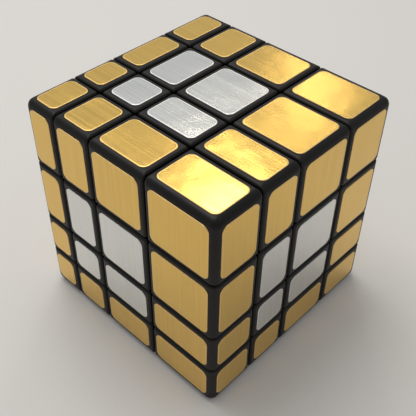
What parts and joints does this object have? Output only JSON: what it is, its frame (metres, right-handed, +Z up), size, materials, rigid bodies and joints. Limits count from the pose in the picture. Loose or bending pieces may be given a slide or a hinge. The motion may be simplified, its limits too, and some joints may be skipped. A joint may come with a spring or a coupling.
{
  "type": "mirror block cube",
  "caption": "Twisting puzzle cube with uneven layers on every axis: black blocks with brushed gold and silver foil faces, turning about a grooved ball core.",
  "frame": {"origin": "the middle of the cube's resting face", "axes": "+Z up; -Y out of the front face and +X out of the right face; the thin outer layers are at the left, front and bottom"},
  "size_m": [0.06, 0.06, 0.06],
  "materials": {
    "block_plastic": "satin",
    "gold_foil": "satin",
    "silver_foil": "satin",
    "core_plastic": "satin",
    "core_steel": "satin"
  },
  "bodies": {
    "corner_left_front_bottom": {"corner_left_front_bottom": "block_plastic"},
    "edge_left_front_narrow": {"edge_left_front_narrow": "block_plastic"},
    "edge_left_front_wide": {"edge_left_front_wide": "block_plastic"},
    "corner_left_front_top": {"corner_left_front_top": "block_plastic"},
    "edge_left_bottom_narrow": {"edge_left_bottom_narrow": "block_plastic"},
    "centre_left_narrow_narrow": {"centre_left_narrow_narrow": "block_plastic"},
    "centre_left_narrow_wide": {"centre_left_narrow_wide": "block_plastic"},
    "edge_left_top_narrow": {"edge_left_top_narrow": "block_plastic"},
    "edge_left_bottom_wide": {"edge_left_bottom_wide": "block_plastic"},
    "centre_left_wide_narrow": {"centre_left_wide_narrow": "block_plastic"},
    "centre_left_wide_wide": {"centre_left_wide_wide": "block_plastic"},
    "edge_left_top_wide": {"edge_left_top_wide": "block_plastic"},
    "corner_left_back_bottom": {"corner_left_back_bottom": "block_plastic"},
    "edge_left_back_narrow": {"edge_left_back_narrow": "block_plastic"},
    "edge_left_back_wide": {"edge_left_back_wide": "block_plastic"},
    "corner_left_back_top": {"corner_left_back_top": "block_plastic"},
    "edge_front_bottom_narrow": {"edge_front_bottom_narrow": "block_plastic"},
    "centre_front_narrow_narrow": {"centre_front_narrow_narrow": "block_plastic"},
    "centre_front_narrow_wide": {"centre_front_narrow_wide": "block_plastic"},
    "edge_front_top_narrow": {"edge_front_top_narrow": "block_plastic"},
    "centre_bottom_narrow_narrow": {"centre_bottom_narrow_narrow": "block_plastic"},
    "centre_top_narrow_narrow": {"centre_top_narrow_narrow": "block_plastic"},
    "centre_bottom_narrow_wide": {"centre_bottom_narrow_wide": "block_plastic"},
    "centre_top_narrow_wide": {"centre_top_narrow_wide": "block_plastic"},
    "edge_back_bottom_narrow": {"edge_back_bottom_narrow": "block_plastic"},
    "centre_back_narrow_narrow": {"centre_back_narrow_narrow": "block_plastic"},
    "centre_back_narrow_wide": {"centre_back_narrow_wide": "block_plastic"},
    "edge_back_top_narrow": {"edge_back_top_narrow": "block_plastic"},
    "edge_front_bottom_wide": {"edge_front_bottom_wide": "block_plastic"},
    "centre_front_wide_narrow": {"centre_front_wide_narrow": "block_plastic"},
    "centre_front_wide_wide": {"centre_front_wide_wide": "block_plastic"},
    "edge_front_top_wide": {"edge_front_top_wide": "block_plastic"},
    "centre_bottom_wide_narrow": {"centre_bottom_wide_narrow": "block_plastic"},
    "centre_top_wide_narrow": {"centre_top_wide_narrow": "block_plastic"},
    "centre_bottom_wide_wide": {"centre_bottom_wide_wide": "block_plastic"},
    "centre_top_wide_wide": {"centre_top_wide_wide": "block_plastic"},
    "edge_back_bottom_wide": {"edge_back_bottom_wide": "block_plastic"},
    "centre_back_wide_narrow": {"centre_back_wide_narrow": "block_plastic"},
    "centre_back_wide_wide": {"centre_back_wide_wide": "block_plastic"},
    "edge_back_top_wide": {"edge_back_top_wide": "block_plastic"},
    "corner_right_front_bottom": {"corner_right_front_bottom": "block_plastic"},
    "edge_right_front_narrow": {"edge_right_front_narrow": "block_plastic"},
    "edge_right_front_wide": {"edge_right_front_wide": "block_plastic"},
    "corner_right_front_top": {"corner_right_front_top": "block_plastic"},
    "edge_right_bottom_narrow": {"edge_right_bottom_narrow": "block_plastic"},
    "centre_right_narrow_narrow": {"centre_right_narrow_narrow": "block_plastic"},
    "centre_right_narrow_wide": {"centre_right_narrow_wide": "block_plastic"},
    "edge_right_top_narrow": {"edge_right_top_narrow": "block_plastic"},
    "edge_right_bottom_wide": {"edge_right_bottom_wide": "block_plastic"},
    "centre_right_wide_narrow": {"centre_right_wide_narrow": "block_plastic"},
    "centre_right_wide_wide": {"centre_right_wide_wide": "block_plastic"},
    "edge_right_top_wide": {"edge_right_top_wide": "block_plastic"},
    "corner_right_back_bottom": {"corner_right_back_bottom": "block_plastic"},
    "edge_right_back_narrow": {"edge_right_back_narrow": "block_plastic"},
    "edge_right_back_wide": {"edge_right_back_wide": "block_plastic"},
    "corner_right_back_top": {"corner_right_back_top": "block_plastic"},
    "core": {"core_lower_half": "core_plastic", "core_upper_half": "core_plastic", "core_screw": "core_steel", "core_spring": "core_steel"}
  },
  "joints": [
    {"name": "z_narrow_layer_turn", "type": "hinge", "parent": "corner_left_front_bottom", "child": "edge_left_front_narrow", "pos_m": [-0.0049, -0.0013, 0.0273], "axis": [0, 0, 1], "continuous": true},
    {"name": "z_wide_layer_turn", "type": "hinge", "parent": "corner_left_front_bottom", "child": "edge_left_front_wide", "pos_m": [-0.0049, -0.0013, 0.0273], "axis": [0, 0, 1], "continuous": true},
    {"name": "top_layer_turn", "type": "hinge", "parent": "corner_left_front_bottom", "child": "corner_left_front_top", "pos_m": [-0.0049, -0.0013, 0.0273], "axis": [0, 0, 1], "continuous": true},
    {"name": "x_narrow_layer_turn", "type": "hinge", "parent": "corner_left_front_bottom", "child": "edge_front_bottom_narrow", "pos_m": [-0.0049, -0.0013, 0.0273], "axis": [1, 0, 0], "range_deg": [-360, 360]},
    {"name": "centre_front_narrow_narrow_in_x_narrow_layer", "type": "hinge", "parent": "edge_left_front_narrow", "child": "centre_front_narrow_narrow", "pos_m": [-0.0049, -0.0013, 0.0273], "axis": [1, 0, 0], "range_deg": [-360, 360]},
    {"name": "centre_front_narrow_wide_in_x_narrow_layer", "type": "hinge", "parent": "edge_left_front_wide", "child": "centre_front_narrow_wide", "pos_m": [-0.0049, -0.0013, 0.0273], "axis": [1, 0, 0], "range_deg": [-360, 360]},
    {"name": "edge_front_top_narrow_in_x_narrow_layer", "type": "hinge", "parent": "corner_left_front_top", "child": "edge_front_top_narrow", "pos_m": [-0.0049, -0.0013, 0.0273], "axis": [1, 0, 0], "range_deg": [-360, 360]},
    {"name": "x_wide_layer_turn", "type": "hinge", "parent": "corner_left_front_bottom", "child": "edge_front_bottom_wide", "pos_m": [-0.0049, -0.0013, 0.0273], "axis": [1, 0, 0], "range_deg": [-360, 360]},
    {"name": "centre_front_wide_narrow_in_x_wide_layer", "type": "hinge", "parent": "edge_left_front_narrow", "child": "centre_front_wide_narrow", "pos_m": [-0.0049, -0.0013, 0.0273], "axis": [1, 0, 0], "range_deg": [-360, 360]},
    {"name": "centre_front_wide_wide_in_x_wide_layer", "type": "hinge", "parent": "edge_left_front_wide", "child": "centre_front_wide_wide", "pos_m": [-0.0049, -0.0013, 0.0273], "axis": [1, 0, 0], "range_deg": [-360, 360]},
    {"name": "edge_front_top_wide_in_x_wide_layer", "type": "hinge", "parent": "corner_left_front_top", "child": "edge_front_top_wide", "pos_m": [-0.0049, -0.0013, 0.0273], "axis": [1, 0, 0], "range_deg": [-360, 360]},
    {"name": "right_layer_turn", "type": "hinge", "parent": "corner_left_front_bottom", "child": "corner_right_front_bottom", "pos_m": [-0.0049, -0.0013, 0.0273], "axis": [1, 0, 0], "range_deg": [-360, 360]},
    {"name": "edge_right_front_narrow_in_right_layer", "type": "hinge", "parent": "edge_left_front_narrow", "child": "edge_right_front_narrow", "pos_m": [-0.0049, -0.0013, 0.0273], "axis": [1, 0, 0], "range_deg": [-360, 360]},
    {"name": "edge_right_front_wide_in_right_layer", "type": "hinge", "parent": "edge_left_front_wide", "child": "edge_right_front_wide", "pos_m": [-0.0049, -0.0013, 0.0273], "axis": [1, 0, 0], "range_deg": [-360, 360]},
    {"name": "corner_right_front_top_in_right_layer", "type": "hinge", "parent": "corner_left_front_top", "child": "corner_right_front_top", "pos_m": [-0.0049, -0.0013, 0.0273], "axis": [1, 0, 0], "range_deg": [-360, 360]},
    {"name": "y_narrow_layer_turn", "type": "hinge", "parent": "corner_left_front_bottom", "child": "edge_left_bottom_narrow", "pos_m": [-0.0049, -0.0013, 0.0273], "axis": [0, 1, 0], "range_deg": [-360, 360]},
    {"name": "centre_left_narrow_narrow_in_y_narrow_layer", "type": "hinge", "parent": "edge_left_front_narrow", "child": "centre_left_narrow_narrow", "pos_m": [-0.0049, -0.0013, 0.0273], "axis": [0, 1, 0], "range_deg": [-360, 360]},
    {"name": "centre_left_narrow_wide_in_y_narrow_layer", "type": "hinge", "parent": "edge_left_front_wide", "child": "centre_left_narrow_wide", "pos_m": [-0.0049, -0.0013, 0.0273], "axis": [0, 1, 0], "range_deg": [-360, 360]},
    {"name": "edge_left_top_narrow_in_y_narrow_layer", "type": "hinge", "parent": "corner_left_front_top", "child": "edge_left_top_narrow", "pos_m": [-0.0049, -0.0013, 0.0273], "axis": [0, 1, 0], "range_deg": [-360, 360]},
    {"name": "centre_bottom_narrow_narrow_in_y_narrow_layer", "type": "hinge", "parent": "edge_front_bottom_narrow", "child": "centre_bottom_narrow_narrow", "pos_m": [-0.0049, -0.0013, 0.0273], "axis": [0, 1, 0], "range_deg": [-360, 360]},
    {"name": "core_in_y_narrow_layer", "type": "hinge", "parent": "centre_front_narrow_narrow", "child": "core", "pos_m": [-0.0049, -0.0013, 0.0273], "axis": [0, 1, 0], "range_deg": [-360, 360]},
    {"name": "centre_top_narrow_narrow_in_y_narrow_layer", "type": "hinge", "parent": "edge_front_top_narrow", "child": "centre_top_narrow_narrow", "pos_m": [-0.0049, -0.0013, 0.0273], "axis": [0, 1, 0], "range_deg": [-360, 360]},
    {"name": "centre_bottom_wide_narrow_in_y_narrow_layer", "type": "hinge", "parent": "edge_front_bottom_wide", "child": "centre_bottom_wide_narrow", "pos_m": [-0.0049, -0.0013, 0.0273], "axis": [0, 1, 0], "range_deg": [-360, 360]},
    {"name": "centre_top_wide_narrow_in_y_narrow_layer", "type": "hinge", "parent": "edge_front_top_wide", "child": "centre_top_wide_narrow", "pos_m": [-0.0049, -0.0013, 0.0273], "axis": [0, 1, 0], "range_deg": [-360, 360]},
    {"name": "edge_right_bottom_narrow_in_y_narrow_layer", "type": "hinge", "parent": "corner_right_front_bottom", "child": "edge_right_bottom_narrow", "pos_m": [-0.0049, -0.0013, 0.0273], "axis": [0, 1, 0], "range_deg": [-360, 360]},
    {"name": "centre_right_narrow_narrow_in_y_narrow_layer", "type": "hinge", "parent": "edge_right_front_narrow", "child": "centre_right_narrow_narrow", "pos_m": [-0.0049, -0.0013, 0.0273], "axis": [0, 1, 0], "range_deg": [-360, 360]},
    {"name": "centre_right_narrow_wide_in_y_narrow_layer", "type": "hinge", "parent": "edge_right_front_wide", "child": "centre_right_narrow_wide", "pos_m": [-0.0049, -0.0013, 0.0273], "axis": [0, 1, 0], "range_deg": [-360, 360]},
    {"name": "edge_right_top_narrow_in_y_narrow_layer", "type": "hinge", "parent": "corner_right_front_top", "child": "edge_right_top_narrow", "pos_m": [-0.0049, -0.0013, 0.0273], "axis": [0, 1, 0], "range_deg": [-360, 360]},
    {"name": "y_wide_layer_turn", "type": "hinge", "parent": "corner_left_front_bottom", "child": "edge_left_bottom_wide", "pos_m": [-0.0049, -0.0013, 0.0273], "axis": [0, 1, 0], "range_deg": [-360, 360]},
    {"name": "centre_left_wide_narrow_in_y_wide_layer", "type": "hinge", "parent": "edge_left_front_narrow", "child": "centre_left_wide_narrow", "pos_m": [-0.0049, -0.0013, 0.0273], "axis": [0, 1, 0], "range_deg": [-360, 360]},
    {"name": "centre_left_wide_wide_in_y_wide_layer", "type": "hinge", "parent": "edge_left_front_wide", "child": "centre_left_wide_wide", "pos_m": [-0.0049, -0.0013, 0.0273], "axis": [0, 1, 0], "range_deg": [-360, 360]},
    {"name": "edge_left_top_wide_in_y_wide_layer", "type": "hinge", "parent": "corner_left_front_top", "child": "edge_left_top_wide", "pos_m": [-0.0049, -0.0013, 0.0273], "axis": [0, 1, 0], "range_deg": [-360, 360]},
    {"name": "centre_bottom_narrow_wide_in_y_wide_layer", "type": "hinge", "parent": "edge_front_bottom_narrow", "child": "centre_bottom_narrow_wide", "pos_m": [-0.0049, -0.0013, 0.0273], "axis": [0, 1, 0], "range_deg": [-360, 360]},
    {"name": "centre_top_narrow_wide_in_y_wide_layer", "type": "hinge", "parent": "edge_front_top_narrow", "child": "centre_top_narrow_wide", "pos_m": [-0.0049, -0.0013, 0.0273], "axis": [0, 1, 0], "range_deg": [-360, 360]},
    {"name": "centre_bottom_wide_wide_in_y_wide_layer", "type": "hinge", "parent": "edge_front_bottom_wide", "child": "centre_bottom_wide_wide", "pos_m": [-0.0049, -0.0013, 0.0273], "axis": [0, 1, 0], "range_deg": [-360, 360]},
    {"name": "centre_top_wide_wide_in_y_wide_layer", "type": "hinge", "parent": "edge_front_top_wide", "child": "centre_top_wide_wide", "pos_m": [-0.0049, -0.0013, 0.0273], "axis": [0, 1, 0], "range_deg": [-360, 360]},
    {"name": "edge_right_bottom_wide_in_y_wide_layer", "type": "hinge", "parent": "corner_right_front_bottom", "child": "edge_right_bottom_wide", "pos_m": [-0.0049, -0.0013, 0.0273], "axis": [0, 1, 0], "range_deg": [-360, 360]},
    {"name": "centre_right_wide_narrow_in_y_wide_layer", "type": "hinge", "parent": "edge_right_front_narrow", "child": "centre_right_wide_narrow", "pos_m": [-0.0049, -0.0013, 0.0273], "axis": [0, 1, 0], "range_deg": [-360, 360]},
    {"name": "centre_right_wide_wide_in_y_wide_layer", "type": "hinge", "parent": "edge_right_front_wide", "child": "centre_right_wide_wide", "pos_m": [-0.0049, -0.0013, 0.0273], "axis": [0, 1, 0], "range_deg": [-360, 360]},
    {"name": "edge_right_top_wide_in_y_wide_layer", "type": "hinge", "parent": "corner_right_front_top", "child": "edge_right_top_wide", "pos_m": [-0.0049, -0.0013, 0.0273], "axis": [0, 1, 0], "range_deg": [-360, 360]},
    {"name": "back_layer_turn", "type": "hinge", "parent": "corner_left_front_bottom", "child": "corner_left_back_bottom", "pos_m": [-0.0049, -0.0013, 0.0273], "axis": [0, 1, 0], "range_deg": [-360, 360]},
    {"name": "edge_left_back_narrow_in_back_layer", "type": "hinge", "parent": "edge_left_front_narrow", "child": "edge_left_back_narrow", "pos_m": [-0.0049, -0.0013, 0.0273], "axis": [0, 1, 0], "range_deg": [-360, 360]},
    {"name": "edge_left_back_wide_in_back_layer", "type": "hinge", "parent": "edge_left_front_wide", "child": "edge_left_back_wide", "pos_m": [-0.0049, -0.0013, 0.0273], "axis": [0, 1, 0], "range_deg": [-360, 360]},
    {"name": "corner_left_back_top_in_back_layer", "type": "hinge", "parent": "corner_left_front_top", "child": "corner_left_back_top", "pos_m": [-0.0049, -0.0013, 0.0273], "axis": [0, 1, 0], "range_deg": [-360, 360]},
    {"name": "edge_back_bottom_narrow_in_back_layer", "type": "hinge", "parent": "edge_front_bottom_narrow", "child": "edge_back_bottom_narrow", "pos_m": [-0.0049, -0.0013, 0.0273], "axis": [0, 1, 0], "range_deg": [-360, 360]},
    {"name": "centre_back_narrow_narrow_in_back_layer", "type": "hinge", "parent": "centre_front_narrow_narrow", "child": "centre_back_narrow_narrow", "pos_m": [-0.0049, -0.0013, 0.0273], "axis": [0, 1, 0], "range_deg": [-360, 360]},
    {"name": "centre_back_narrow_wide_in_back_layer", "type": "hinge", "parent": "centre_front_narrow_wide", "child": "centre_back_narrow_wide", "pos_m": [-0.0049, -0.0013, 0.0273], "axis": [0, 1, 0], "range_deg": [-360, 360]},
    {"name": "edge_back_top_narrow_in_back_layer", "type": "hinge", "parent": "edge_front_top_narrow", "child": "edge_back_top_narrow", "pos_m": [-0.0049, -0.0013, 0.0273], "axis": [0, 1, 0], "range_deg": [-360, 360]},
    {"name": "edge_back_bottom_wide_in_back_layer", "type": "hinge", "parent": "edge_front_bottom_wide", "child": "edge_back_bottom_wide", "pos_m": [-0.0049, -0.0013, 0.0273], "axis": [0, 1, 0], "range_deg": [-360, 360]},
    {"name": "centre_back_wide_narrow_in_back_layer", "type": "hinge", "parent": "centre_front_wide_narrow", "child": "centre_back_wide_narrow", "pos_m": [-0.0049, -0.0013, 0.0273], "axis": [0, 1, 0], "range_deg": [-360, 360]},
    {"name": "centre_back_wide_wide_in_back_layer", "type": "hinge", "parent": "centre_front_wide_wide", "child": "centre_back_wide_wide", "pos_m": [-0.0049, -0.0013, 0.0273], "axis": [0, 1, 0], "range_deg": [-360, 360]},
    {"name": "edge_back_top_wide_in_back_layer", "type": "hinge", "parent": "edge_front_top_wide", "child": "edge_back_top_wide", "pos_m": [-0.0049, -0.0013, 0.0273], "axis": [0, 1, 0], "range_deg": [-360, 360]},
    {"name": "corner_right_back_bottom_in_back_layer", "type": "hinge", "parent": "corner_right_front_bottom", "child": "corner_right_back_bottom", "pos_m": [-0.0049, -0.0013, 0.0273], "axis": [0, 1, 0], "range_deg": [-360, 360]},
    {"name": "edge_right_back_narrow_in_back_layer", "type": "hinge", "parent": "edge_right_front_narrow", "child": "edge_right_back_narrow", "pos_m": [-0.0049, -0.0013, 0.0273], "axis": [0, 1, 0], "range_deg": [-360, 360]},
    {"name": "edge_right_back_wide_in_back_layer", "type": "hinge", "parent": "edge_right_front_wide", "child": "edge_right_back_wide", "pos_m": [-0.0049, -0.0013, 0.0273], "axis": [0, 1, 0], "range_deg": [-360, 360]},
    {"name": "corner_right_back_top_in_back_layer", "type": "hinge", "parent": "corner_right_front_top", "child": "corner_right_back_top", "pos_m": [-0.0049, -0.0013, 0.0273], "axis": [0, 1, 0], "range_deg": [-360, 360]}
  ],
  "couplings": [
    {"joint": "centre_front_narrow_narrow_in_x_narrow_layer", "follows": "x_narrow_layer_turn", "ratio": 1},
    {"joint": "centre_front_narrow_wide_in_x_narrow_layer", "follows": "x_narrow_layer_turn", "ratio": 1},
    {"joint": "edge_front_top_narrow_in_x_narrow_layer", "follows": "x_narrow_layer_turn", "ratio": 1},
    {"joint": "centre_front_wide_narrow_in_x_wide_layer", "follows": "x_wide_layer_turn", "ratio": 1},
    {"joint": "centre_front_wide_wide_in_x_wide_layer", "follows": "x_wide_layer_turn", "ratio": 1},
    {"joint": "edge_front_top_wide_in_x_wide_layer", "follows": "x_wide_layer_turn", "ratio": 1},
    {"joint": "edge_right_front_narrow_in_right_layer", "follows": "right_layer_turn", "ratio": 1},
    {"joint": "edge_right_front_wide_in_right_layer", "follows": "right_layer_turn", "ratio": 1},
    {"joint": "corner_right_front_top_in_right_layer", "follows": "right_layer_turn", "ratio": 1},
    {"joint": "centre_left_narrow_narrow_in_y_narrow_layer", "follows": "y_narrow_layer_turn", "ratio": 1},
    {"joint": "centre_left_narrow_wide_in_y_narrow_layer", "follows": "y_narrow_layer_turn", "ratio": 1},
    {"joint": "edge_left_top_narrow_in_y_narrow_layer", "follows": "y_narrow_layer_turn", "ratio": 1},
    {"joint": "centre_bottom_narrow_narrow_in_y_narrow_layer", "follows": "y_narrow_layer_turn", "ratio": 1},
    {"joint": "core_in_y_narrow_layer", "follows": "y_narrow_layer_turn", "ratio": 1},
    {"joint": "centre_top_narrow_narrow_in_y_narrow_layer", "follows": "y_narrow_layer_turn", "ratio": 1},
    {"joint": "centre_bottom_wide_narrow_in_y_narrow_layer", "follows": "y_narrow_layer_turn", "ratio": 1},
    {"joint": "centre_top_wide_narrow_in_y_narrow_layer", "follows": "y_narrow_layer_turn", "ratio": 1},
    {"joint": "edge_right_bottom_narrow_in_y_narrow_layer", "follows": "y_narrow_layer_turn", "ratio": 1},
    {"joint": "centre_right_narrow_narrow_in_y_narrow_layer", "follows": "y_narrow_layer_turn", "ratio": 1},
    {"joint": "centre_right_narrow_wide_in_y_narrow_layer", "follows": "y_narrow_layer_turn", "ratio": 1},
    {"joint": "edge_right_top_narrow_in_y_narrow_layer", "follows": "y_narrow_layer_turn", "ratio": 1},
    {"joint": "centre_left_wide_narrow_in_y_wide_layer", "follows": "y_wide_layer_turn", "ratio": 1},
    {"joint": "centre_left_wide_wide_in_y_wide_layer", "follows": "y_wide_layer_turn", "ratio": 1},
    {"joint": "edge_left_top_wide_in_y_wide_layer", "follows": "y_wide_layer_turn", "ratio": 1},
    {"joint": "centre_bottom_narrow_wide_in_y_wide_layer", "follows": "y_wide_layer_turn", "ratio": 1},
    {"joint": "centre_top_narrow_wide_in_y_wide_layer", "follows": "y_wide_layer_turn", "ratio": 1},
    {"joint": "centre_bottom_wide_wide_in_y_wide_layer", "follows": "y_wide_layer_turn", "ratio": 1},
    {"joint": "centre_top_wide_wide_in_y_wide_layer", "follows": "y_wide_layer_turn", "ratio": 1},
    {"joint": "edge_right_bottom_wide_in_y_wide_layer", "follows": "y_wide_layer_turn", "ratio": 1},
    {"joint": "centre_right_wide_narrow_in_y_wide_layer", "follows": "y_wide_layer_turn", "ratio": 1},
    {"joint": "centre_right_wide_wide_in_y_wide_layer", "follows": "y_wide_layer_turn", "ratio": 1},
    {"joint": "edge_right_top_wide_in_y_wide_layer", "follows": "y_wide_layer_turn", "ratio": 1},
    {"joint": "edge_left_back_narrow_in_back_layer", "follows": "back_layer_turn", "ratio": 1},
    {"joint": "edge_left_back_wide_in_back_layer", "follows": "back_layer_turn", "ratio": 1},
    {"joint": "corner_left_back_top_in_back_layer", "follows": "back_layer_turn", "ratio": 1},
    {"joint": "edge_back_bottom_narrow_in_back_layer", "follows": "back_layer_turn", "ratio": 1},
    {"joint": "centre_back_narrow_narrow_in_back_layer", "follows": "back_layer_turn", "ratio": 1},
    {"joint": "centre_back_narrow_wide_in_back_layer", "follows": "back_layer_turn", "ratio": 1},
    {"joint": "edge_back_top_narrow_in_back_layer", "follows": "back_layer_turn", "ratio": 1},
    {"joint": "edge_back_bottom_wide_in_back_layer", "follows": "back_layer_turn", "ratio": 1},
    {"joint": "centre_back_wide_narrow_in_back_layer", "follows": "back_layer_turn", "ratio": 1},
    {"joint": "centre_back_wide_wide_in_back_layer", "follows": "back_layer_turn", "ratio": 1},
    {"joint": "edge_back_top_wide_in_back_layer", "follows": "back_layer_turn", "ratio": 1},
    {"joint": "corner_right_back_bottom_in_back_layer", "follows": "back_layer_turn", "ratio": 1},
    {"joint": "edge_right_back_narrow_in_back_layer", "follows": "back_layer_turn", "ratio": 1},
    {"joint": "edge_right_back_wide_in_back_layer", "follows": "back_layer_turn", "ratio": 1},
    {"joint": "corner_right_back_top_in_back_layer", "follows": "back_layer_turn", "ratio": 1}
  ]
}
